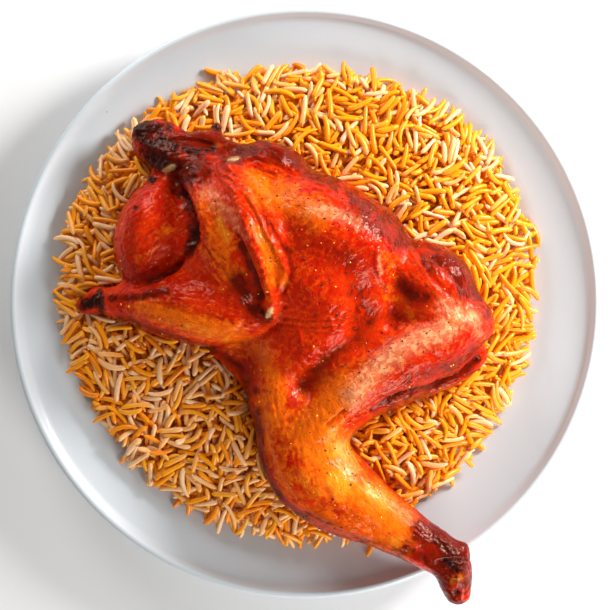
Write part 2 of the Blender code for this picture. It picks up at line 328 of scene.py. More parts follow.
def plate_section():
    """The plate's section from the middle of the well, over the rim and back under to the middle."""
    points = [(0.0, WELL_Z), (WELL_R * 0.6, WELL_Z)]
    points += [(r, float(plate_top(r))) for r in np.linspace(WELL_R, RISE_R, 20)]
    centre_r = PLATE_R - RIM_EDGE_R
    for angle in np.radians(np.linspace(125, -60, 14)):
        points.append((centre_r + RIM_EDGE_R * math.cos(angle), RIM_CENTRE_Z + RIM_EDGE_R * math.sin(angle)))
    points += [(r, float(plate_top(r)) - WALL) for r in np.linspace(RISE_R, FOOT_OUT_R + 6, 10)]
    points += [
        (FOOT_OUT_R + FOOT_ROUND, UNDER_Z),
        (FOOT_OUT_R, FOOT_ROUND),
        (FOOT_OUT_R - FOOT_ROUND, 0.0),
        (FOOT_IN_R + FOOT_ROUND, 0.0),
        (FOOT_IN_R, FOOT_ROUND),
        (FOOT_IN_R - FOOT_ROUND, UNDER_Z),
        (0.0, UNDER_Z),
    ]
    return points


def glaze_finish(settings):
    shader = Shader("white glaze", Coat_Roughness=0.05, IOR=1.5)
    cloud = shader.noise(45, 2)
    dull = colour(c * 0.96 for c in settings.glaze)
    shader.feed("Base Color", shader.mix(cloud, colour(settings.glaze), dull))
    shader.feed("Roughness", settings.roughness + shader.noise(8, 4) * 0.08)
    shader.feed("Coat Weight", 0.12 + cloud * 0.06)
    shader.bump(shader.noise(14, 2) + shader.noise(1.2, 1) * 0.06, 0.08)
    return shader


class MANDI_OT_plate(bpy.types.Operator):
    """Turns the white plate from its section"""

    bl_idname = "mandi.plate"
    bl_label = "Plate"

    def execute(self, context):
        settings = context.scene.mandi_plate
        section = [(r * MM, 0, z * MM) for r, z in plate_section()]
        edges = [(i, i + 1) for i in range(len(section) - 1)]
        piece = mesh_piece("dinner_plate", section, [], edges)
        turn = piece.modifiers.new("turn", "SCREW")
        turn.steps = turn.render_steps = settings.steps
        turn.use_merge_vertices = True
        turn.merge_threshold = 0.00001
        turn.use_smooth_shade = True
        dress(piece, glaze_finish(settings), "plate", "plate")
        return {"FINISHED"}


# Folds: points in view units, half width in view units, height in mm, cut where negative
FOLDS = (
    ("hollow behind the neck lobe", ((178, 192), (186, 206), (191, 224), (193, 240)), 5.5, -3.8),
    ("crease under the neck lobe", ((192, 248), (177, 267), (157, 279), (136, 285)), 2.6, -1.6),
    ("wing near ridge", ((199, 204), (215, 238), (233, 270), (246, 292)), 5.5, 0.9),
    ("wing valley", ((236, 236), (246, 256), (254, 277), (260, 297)), 3.2, -2.0),
    ("wing far ridge", ((219, 170), (235, 194), (246, 222), (256, 250), (267, 277), (273, 302)), 4.5, 1.1),
    ("web edge", ((247, 190), (262, 225), (280, 256), (286, 270), (278, 290)), 2.2, 0.8),
    ("web foot", ((252, 192), (268, 224), (287, 256), (292, 272), (284, 292)), 2.6, -0.9),
    ("elbow", ((270, 312),), 5.0, 1.0),
    ("elbow crease", ((284, 308), (279, 324), (262, 336), (240, 346)), 2.6, -1.5),
    ("elbow flap", ((285, 310), (279, 326)), 1.6, 1.0),
    ("drumette streak", ((116, 300), (140, 300), (168, 294)), 3.0, -0.7),
    ("bone of the wing tip", ((176, 130), (196, 132), (222, 134)), 3.0, 0.7),
    ("groove by the bone", ((172, 139), (195, 141), (214, 145)), 2.0, -1.2),
    ("neck of the wing tip", ((160, 176), (178, 170), (196, 168)), 3.0, -1.0),
    ("shoulder lumps", ((243, 147), (262, 143), (284, 152)), 3.2, 0.9),
    ("shoulder groove", ((236, 163), (258, 160), (280, 168), (300, 176)), 2.6, -0.9),
    ("rim of the hip hollow", ((377, 252), (376, 264), (380, 276), (386, 286)), 3.2, 1.2),
    ("hip hollow", ((388, 262), (396, 276), (404, 288)), 6.5, -1.3),
    ("burnt hollow", ((402, 288), (414, 295), (425, 300)), 10.0, -0.5),
    ("hip front groove", ((406, 216), (416, 248), (430, 276), (446, 292)), 3.0, -1.2),
    ("hip lumps", ((441, 254), (455, 262), (467, 280)), 4.0, 1.0),
    ("hip side groove", ((432, 258), (446, 270), (462, 288)), 2.4, -0.9),
    ("thigh valley", ((360, 292), (370, 318), (354, 342), (322, 364), (302, 386)), 11.0, -3.4),
    ("thigh ridge", ((468, 320), (430, 340), (392, 358), (356, 392)), 15.0, 1.6),
    ("belly fold", ((300, 332), (303, 352)), 1.5, 0.7),
    ("belly fold right", ((330, 317), (334, 331)), 1.5, 0.6),
    ("belly fold far right", ((348, 315), (340, 328)), 1.5, 0.6),
    ("slit above the knee", ((326, 425), (335, 417), (344, 410)), 1.7, -1.5),
    ("lip of the slit", ((328, 420), (337, 412)), 1.6, 0.5),
    ("hem crease", ((476, 360), (454, 378), (430, 387), (396, 396), (372, 411)), 2.4, -2.2),
    ("side skin edge", ((214, 350), (240, 368), (256, 400), (259, 440), (266, 476), (286, 506)), 2.4, 0.7),
    ("side skin groove", ((226, 352), (250, 372), (264, 404), (267, 440), (274, 472), (294, 500)), 3.0, -0.8),
    ("shank side groove", ((318, 505), (352, 520), (392, 541), (424, 556)), 5.0, -0.8),
    ("ankle groove", ((438, 563), (452, 559), (468, 560)), 2.2, -1.4),
    ("ankle bone", ((459, 577),), 8.0, 1.0),
    ("ankle pit", ((453, 568),), 2.6, -1.4),
    ("ankle tip pit", ((457, 592),), 3.2, -1.6),
)

# Wrinkles: a band of fine lines along its points, half width, line pitch and depth in mm
WRINKLES = (
    ("near ridge skin", ((196, 236), (222, 262), (244, 292)), 12.0, 6.2, 0.42),
    ("far ridge skin", ((232, 196), (246, 226), (258, 258), (268, 286)), 7.0, 5.6, 0.30),
    ("web skin", ((219, 167), (246, 194), (262, 222), (280, 262)), 7.0, 5.6, 0.42),
    ("wing top skin", ((192, 190), (206, 214), (214, 236)), 12.0, 4.0, 0.22),
    ("neck lobe fibres", ((176, 222), (160, 240), (146, 262)), 11.0, 4.6, 0.18),
    ("drumette skin", ((150, 300), (196, 306), (240, 322)), 13.0, 5.0, 0.20),
    ("hip fibres", ((402, 238), (418, 262), (434, 286)), 10.0, 4.2, 0.28),
    ("belly folds", ((286, 322), (318, 326), (350, 322)), 12.0, 6.5, 0.30),
    ("shoulder skin", ((256, 166), (290, 180), (326, 196)), 10.0, 5.0, 0.20),
    ("shank skin", ((384, 500), (414, 524), (440, 540)), 9.0, 4.6, 0.15),
    ("hem skin", ((470, 371), (430, 391), (390, 404)), 5.0, 3.6, 0.35),
)

# Marks of each mask: points, half width in view units, and strength. Most are stains of the skin; the rosy
# mask is painted sheen, and some brown and char marks are painted shade in hollows and creases
STAINS = {
    "amber": (
        (((258, 192), (290, 202), (318, 216)), 19, 0.75),
        # Partly real orange skin, partly painted sheen along the thigh ridge
        (((470, 312), (432, 336), (396, 352), (366, 376)), 15, 0.45),
        (((385, 292), (410, 312)), 10, 0.5),
        (((250, 178), (290, 186)), 10, 0.45),
        (((256, 228), (272, 256), (282, 282)), 8, 0.85),
        (((262, 236), (268, 272), (272, 300)), 5, 0.5),
        (((212, 232), (236, 274)), 8, 0.4),
        (((142, 306), (190, 322), (238, 334)), 13, 0.85),
        (((166, 231),), 8, 0.85),
        (((150, 250), (140, 262)), 8, 0.35),
        (((200, 198), (216, 220), (228, 244)), 14, 0.6),
        (((206, 250), (226, 276)), 13, 0.5),
        (((262, 352), (276, 384), (276, 420)), 14, 0.8),
        (((384, 256), (398, 270)), 9, 0.45),
        (((340, 392), (306, 436), (330, 470), (368, 500), (398, 524)), 27, 0.95),
        (((262, 400), (266, 440), (277, 474), (297, 500)), 9, 0.6),
        (((310, 512), (340, 528), (372, 541), (404, 552)), 10, 0.7),
        (((392, 400), (430, 394), (450, 388)), 4, 0.6),
        (((250, 345), (230, 352)), 9, 0.5),
        (((452, 580), (464, 572)), 6, 0.7),
    ),
    "gold": (
        (((334, 438), (346, 462), (338, 488)), 15, 0.8),
        (((296, 474), (316, 492)), 12, 0.45),
        (((366, 488), (386, 504)), 10, 0.7),
        (((362, 438), (384, 462), (404, 484), (422, 502)), 10, 0.95),
        (((396, 542),), 8, 0.8),
        (((219, 220), (227, 238)), 6, 0.6),
        (((246, 252), (252, 268)), 4, 0.6),
        (((190, 328), (226, 338)), 8, 0.5),
        (((450, 580), (462, 577)), 5, 0.9),
        (((208, 148), (222, 142), (236, 144)), 5, 0.6),
        # A faint painted highlight on the breast
        (((330, 214),), 10, 0.2),
    ),
    # Painted sheen: rosy colour where the sheen falls on the hip, thigh, knee, breast and wing
    "painted_sheen": (
        (((446, 306), (470, 318)), 12, 0.6),
        (((476, 322), (480, 334)), 8, 0.35),
        (((364, 440), (386, 464)), 8, 0.5),
        (((446, 330), (408, 344), (380, 366), (352, 396)), 13, 0.75),
        (((312, 208), (336, 214), (360, 222)), 9, 0.6),
        (((290, 376), (296, 400)), 8, 0.3),
        (((340, 448), (352, 470)), 9, 0.5),
        (((372, 492), (402, 514)), 8, 0.4),
        (((378, 256), (381, 272)), 3, 0.7),
        (((234, 222), (244, 238)), 7, 0.4),
        (((208, 192), (228, 214)), 11, 0.5),
    ),
    "brown": (
        (((204, 246), (222, 268), (240, 292)), 8, 0.15),
        (((196, 188), (202, 200)), 9, 0.3),
        (((403, 286), (412, 294), (423, 299)), 11, 0.75),
        # Partly darker skin, partly painted shade in the valley between breast and thigh
        (((356, 292), (368, 318), (352, 344), (320, 366), (302, 386)), 10, 0.46),
        (((310, 514), (340, 530), (372, 543), (404, 554)), 7, 0.55),
        (((474, 352), (440, 368), (410, 380), (385, 392)), 10, 0.45),
        (((418, 258), (432, 274)), 10, 0.35),
        (((420, 530), (440, 545), (462, 556)), 13, 1.0),
        (((446, 566), (466, 590)), 7, 0.5),
        # Painted shade in the valley between the wing's ridges
        (((240, 244), (248, 260), (256, 282), (260, 298)), 4, 0.95),
        # Painted shade in the hollow behind the neck lobe
        (((182, 194), (189, 215), (192, 238), (189, 252)), 6, 1.0),
        # Painted shade in the crease under the neck lobe
        (((189, 254), (172, 271), (148, 283)), 4, 0.6),
        (((112, 299), (140, 297), (165, 291)), 5, 0.75),
        (((120, 317), (150, 327), (185, 341), (216, 351)), 3.5, 0.6),
        (((245, 300), (258, 314)), 6, 0.6),
        # Painted shade in the hem crease under the thigh
        (((478, 360), (454, 378), (430, 387), (396, 396), (372, 411)), 3.2, 0.95),
        (((472, 372), (430, 393), (390, 404)), 5, 0.4),
        (((430, 536), (448, 545), (460, 556)), 9, 0.75),
        (((406, 548), (430, 562), (446, 580)), 6, 0.7),
        (((258, 410), (261, 450), (268, 478), (284, 503), (304, 518)), 5, 0.8),
        (((214, 350), (240, 368), (254, 392)), 5, 0.6),
        (((240, 151), (262, 145), (286, 152), (300, 158)), 10, 0.85),
        (((440, 254), (458, 266), (471, 286)), 6, 0.55),
        (((388, 214), (404, 222), (412, 240)), 7, 0.4),
        (((376, 236), (382, 233)), 3, 0.8),
        (((284, 246), (290, 252)), 4, 0.7),
        (((204, 170), (186, 176), (172, 184)), 6, 0.7),
        (((222, 158), (240, 160)), 6, 0.8),
        (((138, 126), (166, 140), (200, 140), (226, 136)), 14, 1.0),
        (((150, 160), (176, 166), (206, 164)), 10, 0.9),
        (((178, 180), (190, 172), (200, 180)), 9, 0.8),
        (((236, 148), (270, 150), (300, 160), (330, 176)), 10, 0.75),
        (((354, 208), (376, 224), (398, 242)), 14, 0.6),
        (((300, 164), (332, 184), (364, 204), (396, 222), (412, 238)), 11, 0.58),
        (((430, 252), (456, 262), (474, 284), (485, 312)), 12, 0.65),
        (((350, 262), (364, 300), (366, 330)), 18, 0.36),
        (((340, 262),), 18, 0.2),
        (((130, 225), (128, 262), (150, 280)), 9, 0.35),
        (((440, 262), (456, 276), (466, 296)), 10, 0.6),
        # Painted shade in the crevice at the foot of the wing valley
        (((238, 280), (250, 296), (262, 318)), 9, 0.8),
        (((440, 540), (462, 556), (468, 580)), 12, 0.8),
        (((438, 566), (446, 590), (458, 604)), 7, 0.85),
    ),
    "char": (
        (((138, 128), (150, 150), (164, 162)), 13, 0.85),
        (((136, 126), (170, 126)), 6, 0.8),
        (((164, 142), (192, 152), (214, 150)), 8, 0.75),
        (((180, 166), (196, 168)), 5, 0.5),
        # Painted shade: char in the hollow behind the neck lobe
        (((182, 192), (189, 206), (192, 224), (190, 246)), 6, 0.85),
        (((217, 127),), 6, 1.0),
        (((262, 312), (270, 320)), 4, 0.7),
        (((180, 182), (194, 176)), 6, 0.5),
        (((436, 540), (452, 552), (462, 562)), 8, 0.65),
        (((152, 180),), 6, 1.0),
        (((136, 208),), 3, 1.0),
        (((84, 305), (96, 300)), 8, 1.0),
        (((100, 292), (102, 314)), 4, 0.9),
        (((446, 562), (456, 569)), 6, 0.85),
        (((457, 593),), 5, 0.95),
        # Painted shade in the hollow behind the neck lobe
        (((184, 196), (188, 206)), 4, 0.8),
    ),
    "pale": (
        (((166, 171), (173, 167)), 4, 1.0),
        (((268, 316), (271, 309)), 3, 0.9),
        (((229, 160), (238, 158)), 3, 0.7),
        (((284, 312), (280, 322)), 1.5, 0.5),
    ),
}
# Painted shade: brown laid on the steep sides of the skin
SIDE_SHADE = 0.4
FACING_UP = (-0.25, 0.3)
FACING_OUT = (0.62, 0.1)

# Run of the skin's fibres: a place in view units, and degrees up from the view's right
FIBRES = (
    ((150, 245), 42),
    ((205, 200), -62),
    ((225, 255), -60),
    ((262, 240), -58),
    ((180, 310), -8),
    ((245, 325), -20),
    ((300, 195), -28),
    ((330, 235), 40),
    ((310, 290), 62),
    ((350, 310), 55),
    ((300, 350), 75),
    ((420, 260), -52),
    ((455, 300), -70),
    ((425, 345), 30),
    ((375, 375), 38),
    ((300, 420), -85),
    ((335, 450), -60),
    ((370, 495), -38),
    ((430, 545), -35),
    ((175, 135), -4),
)
FIBRE_WAYS = (-75, -45, -15, 15, 45, 75)
FIBRE_REACH = 34.0
FIBRE_LENGTH = 8.0
FIBRE_WIDTH = 1.9
FIBRE_RISE = 0.32
# Strength of the painted shade in the troughs of the fibres and of the wrinkles
FIBRE_TROUGH_SHADE = 0.45
WRINKLE_TROUGH_SHADE = 2.2
WAVER = 0.6
WAVER_SIZE = 9.0

# Lumps of the skin: size and height in mm, and seed
LUMPS = ((13.0, 0.55, 0.0), (5.5, 0.32, 1.3), (2.2, 0.12, 2.2))

# Charred crust and the crumbs on it
CRUST_SIZE = 3.2
CRUST_RISE = 1.5
CRUST_SINK = 0.4
CRUMB_SIZE = 1.7
CRUMB_RISE = 0.5

FOLLICLES = (((196, 196), (214, 214), (206, 244)), 22.0)
FOLLICLE_PITCH = 2.9
FOLLICLE_REACH = 0.36 * FOLLICLE_PITCH
FOLLICLE_RISE = 0.60
FOLLICLE_DIP = 0.3
FOLLICLE_TRIES = 6000


def view_places(places):
    """Where places in mm are seen from the eye, in view units."""
    scale = (EYE[2] - RIM_Z) / (EYE[2] - places[:, 2]) / VIEW_MM
    shift_u = VIEW_AXIS[0] + EYE[0] / VIEW_MM
    shift_v = VIEW_AXIS[1] - EYE[1] / VIEW_MM
    u = shift_u + (places[:, 0] - EYE[0]) * scale
    v = shift_v - (places[:, 1] - EYE[1]) * scale
    return u, v


def plate_place(u, v):
    """The place on the plate, in mm, that is seen at u, v."""
    z = RIM_Z
    for _ in range(4):
        scale = (EYE[2] - RIM_Z) / (EYE[2] - z) / VIEW_MM
        x = EYE[0] + (u - VIEW_AXIS[0] - EYE[0] / VIEW_MM) / scale
        y = EYE[1] - (v - VIEW_AXIS[1] + EYE[1] / VIEW_MM) / scale
        z = float(plate_top(math.hypot(x, y)))
    return x, y, z


def to_line(u, v, points):
    """Distance to a line of points, the length run along it and the signed distance beside it."""
    if len(points) == 1:
        gap = np.hypot(u - points[0][0], v - points[0][1])
        return gap, np.zeros_like(gap), gap
    nearest = np.full(u.shape, np.inf)
    along = np.zeros_like(nearest)
    beside = np.zeros_like(nearest)
    run = 0.0
    for (au, av), (bu, bv) in zip(points, points[1:]):
        du, dv = bu - au, bv - av
        length = math.hypot(du, dv)
        t = np.clip(((u - au) * du + (v - av) * dv) / length**2, 0, 1)
        pu, pv = u - au - t * du, v - av - t * dv
        gap = np.hypot(pu, pv)
        closer = gap < nearest
        nearest = np.where(closer, gap, nearest)
        along = np.where(closer, run + t * length, along)
        beside = np.where(closer, (pu * dv - pv * du) / length, beside)
        run += length
    return nearest, along, beside


def band(gap):
    """A soft band: 1 on its line, fading out as the gap passes 1."""
    return np.exp(-(gap**2))


def noise_at(places, size, seed=0.0):
    """Soft noise from -1 to 1 at each place, with blotches of that size in mm."""
    shift = Vector((seed, seed * 1.7, -seed))
    return np.array([noise.noise(Vector(p) / size + shift) for p in places])


def fine_copy(node, voxel):
    """A mesh object over a frame node, with cells of that size and its facets eased away."""
    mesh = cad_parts[node].data.copy()
    piece = bpy.data.objects.new("roast_chicken", mesh)
    bpy.context.scene.collection.objects.link(piece)
    cells = piece.modifiers.new("cells", "REMESH")
    cells.mode = "VOXEL"
    cells.voxel_size = voxel
    ease = piece.modifiers.new("ease", "SMOOTH")
    ease.factor = 0.5
    ease.iterations = round(20 * (0.0008 / voxel) ** 2)
    graph = bpy.context.evaluated_depsgraph_get()
    fine = bpy.data.meshes.new_from_object(piece.evaluated_get(graph))
    piece.modifiers.clear()
    piece.data = fine
    return piece


def stain_masks(u, v, above):
    """The strength of each mark, stain or painted sheen and shade, at each vertex, strongest where the skin
    faces up.
    """
    masks = {}
    for name, stains in STAINS.items():
        masks[name] = np.zeros_like(u)
        for points, half_width, strength in stains:
            mark = strength * band(to_line(u, v, points)[0] / half_width) * above
            masks[name] = 1 - (1 - masks[name]) * (1 - mark)
    return masks


def carve(piece, u, v, above, masks):
    """Sculpts folds, wrinkles, follicles and char into the skin, and makes the groove mask of painted shade
    in their troughs.
    """
    mesh = piece.data
    places = vertex_places(mesh)
    rise = np.zeros(len(places))
    for _, points, half_width, height in FOLDS:
        rise += height * band(to_line(u, v, points)[0] / half_width) * above
    waver = noise_at(places, WAVER_SIZE, 3.1)
    grooves = -FIBRE_TROUGH_SHADE * fibre_rise(places, u, v)
    rise -= FIBRE_RISE / FIBRE_TROUGH_SHADE * grooves
    for _, points, half_width, pitch, depth in WRINKLES:
        gap, _, beside = to_line(u, v, points)
        lines = np.cos(2 * math.pi * (beside / pitch + WAVER * waver)) * band(gap / half_width) * above
        rise += depth * lines
        grooves -= WRINKLE_TROUGH_SHADE * depth * lines
    # The groove mask: painted shade, darker in the troughs of the fibres and wrinkles
    masks["groove"] = np.clip(grooves, 0, 1)
    for size, height, seed in LUMPS:
        rise += height * noise_at(places, size, seed)
    crust = CRUST_RISE * np.abs(noise_at(places, CRUST_SIZE, 5.0)) - CRUST_SINK
    crust += CRUMB_RISE * noise_at(places, CRUMB_SIZE, 6.0)
    rise += crust * masks["char"]
    rise += follicle_rise(places, u, v, above)
    places += vertex_normals(mesh) * rise[:, None]
    set_vertex_places(mesh, places)


def fibre_masks(u, v):
    """How far the fibres at each place run in each of the ways."""
    masks = {fibre_mask(way): np.full(len(u), 1e-6) for way in FIBRE_WAYS}
    for (at_u, at_v), degrees in FIBRES:
        nearest = min(FIBRE_WAYS, key=lambda way: abs((way - degrees + 90) % 180 - 90))
        masks[fibre_mask(nearest)] += band(np.hypot(u - at_u, v - at_v) / FIBRE_REACH)
    total = sum(masks.values())
    return {name: weight / total for name, weight in masks.items()}


def fibre_mask(way):
    return f"fibre_{way % 180}"


def fibre_rise(places, u, v):
    """Fine ridges that run with the fibres under the skin."""
    total = np.full(len(places), 1e-6)
    rise = np.zeros(len(places))
    for (at_u, at_v), degrees in FIBRES:
        weight = band(np.hypot(u - at_u, v - at_v) / FIBRE_REACH)
        near = np.flatnonzero(weight > 0.02)
        cos, sin = math.cos(math.radians(degrees)), math.sin(math.radians(degrees))
        along = places[near, 0] * cos + places[near, 1] * sin
        across = places[near, 1] * cos - places[near, 0] * sin
        stretched = np.stack((along / FIBRE_LENGTH, across / FIBRE_WIDTH, places[near, 2] / FIBRE_WIDTH), 1)
        ridges = noise_at(stretched, 1.0, at_u)
        rise[near] += weight[near] * (1 - 2.4 * np.abs(ridges))
        total[near] += weight[near]
    return rise / total


def follicle_rise(places, u, v, above):
    """Small bumps where feathers grew, on the wing."""
    points, half_width = FOLLICLES
    strength = np.exp(-((to_line(u, v, points)[0] / half_width) ** 4)) * above
    rng = np.random.default_rng(5)
    spots = []
    inside = np.flatnonzero(strength > 0.05)
    for place in places[rng.permutation(inside)[:FOLLICLE_TRIES]].tolist():
        if all(math.dist(place, spot) > FOLLICLE_PITCH for spot in spots):
            spots.append(place)
    tree = KDTree(len(spots))
    for i, spot in enumerate(spots):
        tree.insert(spot, i)
    tree.balance()
    rise = np.zeros(len(places))
    for index in inside:
        reach = tree.find(places[index])[2]
        rise[index] = band(reach / FOLLICLE_REACH) - FOLLICLE_DIP
    return FOLLICLE_RISE * rise * strength


def fibres(shader, length, width):
    """Soft streaks of that length and width in mm that run with the fibres, from 0 to 1."""
    streaks = 0
    for way in FIBRE_WAYS:
        turn = (0, 0, math.radians(way))
        sockets = {"Vector": shader.place, "Rotation": turn, "Scale": (length * MM, width * MM, width * MM)}
        turned = shader.add("ShaderNodeMapping", {"vector_type": "TEXTURE"}, sockets)
        streak = shader.add("ShaderNodeTexNoise", {}, {"Vector": turned, "Scale": 1.0, "Detail": 2.0}, "Fac")
        streaks = streaks + streak * shader.mask(fibre_mask(way))
    return streaks


def skin_finish(settings):
    """Roast skin: a mottle of reds, stained, specked and charred, glossy, with a rosy painted sheen and
    painted shade in its creases.
    """
    shader = Shader("roast skin", IOR=1.36, Specular_IOR_Level=0.34, Specular_Tint=(1.0, 0.6, 0.45, 1.0))
    broad = shader.noise(26, 4, 0.4).ramp(0.36, 0.66)
    middle = shader.noise(6, 5, 0.6).ramp(0.35, 0.70)
    mottle = shader.noise(2.6, 3, 0.5).ramp(0.42, 0.66)
    fine = shader.noise(1.1, 3).ramp(0.40, 0.70)
    amber, gold, painted_sheen, brown, char, pale = (shader.mask(name) for name in STAINS)
    streaks = fibres(shader, 6.5, 1.0)
    cracks = 1 - streaks.math("ABSOLUTE", streaks - 0.5).ramp(0.0, 0.05)
    pores = 1 - shader.cells(1.9).ramp(0.10, 0.30)
    specks = (1 - shader.cells(2.3).ramp(0.10, 0.18)) * (shader.noise(3.4, 2) > 0.54)
    coats = (
        ("scarlet", broad * 0.5 + middle * 0.25 + mottle * 0.25),
        ("amber", (amber + middle * 0.3 + mottle * 0.3 - 0.35).ramp(0.0, 0.9)),
        ("amber", mottle * fine * 0.3),
        ("gold", (gold * (0.1 + middle * 0.4 + streaks)).ramp(0.1, 0.95)),
        # Painted sheen, broken up by the mottle and the fibres
        ("painted_sheen", (painted_sheen * (0.2 + mottle * 0.5 + streaks * 0.8)).ramp(0.05, 0.95)),
        ("brown", (brown * (0.6 + middle * 0.6 + mottle * 0.4)).ramp(0.05, 0.85)),
        # Painted shade: brown in the troughs of the fibres and wrinkles
        ("brown", shader.mask("groove") * 0.75),
        ("brown", cracks * middle * 0.4),
        ("brown", pores * middle * 0.6),
        ("char", specks * 0.8),
        ("char", (char * 1.2 + mottle * 0.35 - 0.35).ramp(0.0, 0.9)),
        ("pale", (pale * 1.2 + fine * 0.3 - 0.2).ramp(0.2, 0.9)),
    )
    tone = colour(settings.red)
    for name, cover in coats:
        tone = shader.mix(cover, tone, colour(getattr(settings, name)))
    shader.feed("Base Color", tone)
    dry = shader.noise(15, 3).ramp(0.45, 0.75)
    shader.feed("Roughness", 0.06 + fine * 0.04 + dry * 0.05 + char * 0.15)
    beads = 1 - shader.cells(2.4).ramp(0.04, 0.27)
    shader.bump(mottle * 0.2 + beads * middle * 0.6 + shader.noise(1.4, 2) * 0.3 + streaks * 0.5, 0.4)
    return shader


class MANDI_OT_chicken(bpy.types.Operator):
    """Sculpts the roast half chicken over its solid"""

    bl_idname = "mandi.chicken"
    bl_label = "Chicken"

    def execute(self, context):
        settings = context.scene.mandi_chicken
        piece = fine_copy("chicken", settings.voxel)
        places = vertex_places(piece.data)
        normals = vertex_normals(piece.data)
        u, v = view_places(places)
        above = smoothstep(*FACING_UP, normals[:, 2])
        masks = stain_masks(u, v, above)
        # Painted shade: the steep sides turn browner and darker
        side = SIDE_SHADE * smoothstep(*FACING_OUT, normals[:, 2])
        masks["brown"] = 1 - (1 - masks["brown"]) * (1 - side)
        masks.update(fibre_masks(u, v))
        carve(piece, u, v, above, masks)
        for name, values in masks.items():
            add_mask(piece.data, name, values)
        piece.data.shade_smooth()
        dress(piece, skin_finish(settings), "chicken", "chicken")
        return {"FINISHED"}


def chicken_cover(axis):
    """Lowest height of the chicken over each cell of the map, in mm."""
    graph = bpy.context.evaluated_depsgraph_get()
    tree = BVHTree.FromObject(bpy.data.objects["roast_chicken"], graph)
    low = np.full((len(axis), len(axis)), NO_COVER)
    up = Vector((0, 0, 1))
    for i, x in enumerate(axis):
        for j, y in enumerate(axis):
            if math.hypot(x, y) > MAP_HALF:
                continue
            hit = tree.ray_cast(Vector((x, y, -1)) * MM, up)[0]
            if hit:
                low[i, j] = hit.z / MM
    return low


def deep_cover(low, reach):
    """Cells that the chicken covers all round, out to that reach in mm."""
    covered = low < NO_COVER
    steps = round(reach / CELL)
    for _ in range(steps):
        covered = (
            covered
            & np.roll(covered, 1, 0)
            & np.roll(covered, -1, 0)
            & np.roll(covered, 1, 1)
            & np.roll(covered, -1, 1)
        )
    return covered


def rest_line(along, heights):
    """Height at the middle and slope of a stick that lies on these heights."""
    left, right = along < -0.1, along > 0.1
    tl, hl = along[left][:, None], heights[left][:, None]
    tr, hr = along[right][None, :], heights[right][None, :]
    middles = (hl * tr - hr * tl) / (tr - tl)
    i, j = np.unravel_index(np.argmax(middles), middles.shape)
    middle = middles[i, j]
    slope = (hr[0, j] - hl[i, 0]) / (tr[0, j] - tl[i, 0])
    centre = heights[len(heights) // 2]
    if centre > middle:
        low = ((heights[right] - centre) / along[right]).max()
        high = ((heights[left] - centre) / along[left]).min()
        middle = centre
        slope = low if abs(low) < abs(high) else high
    return middle, slope


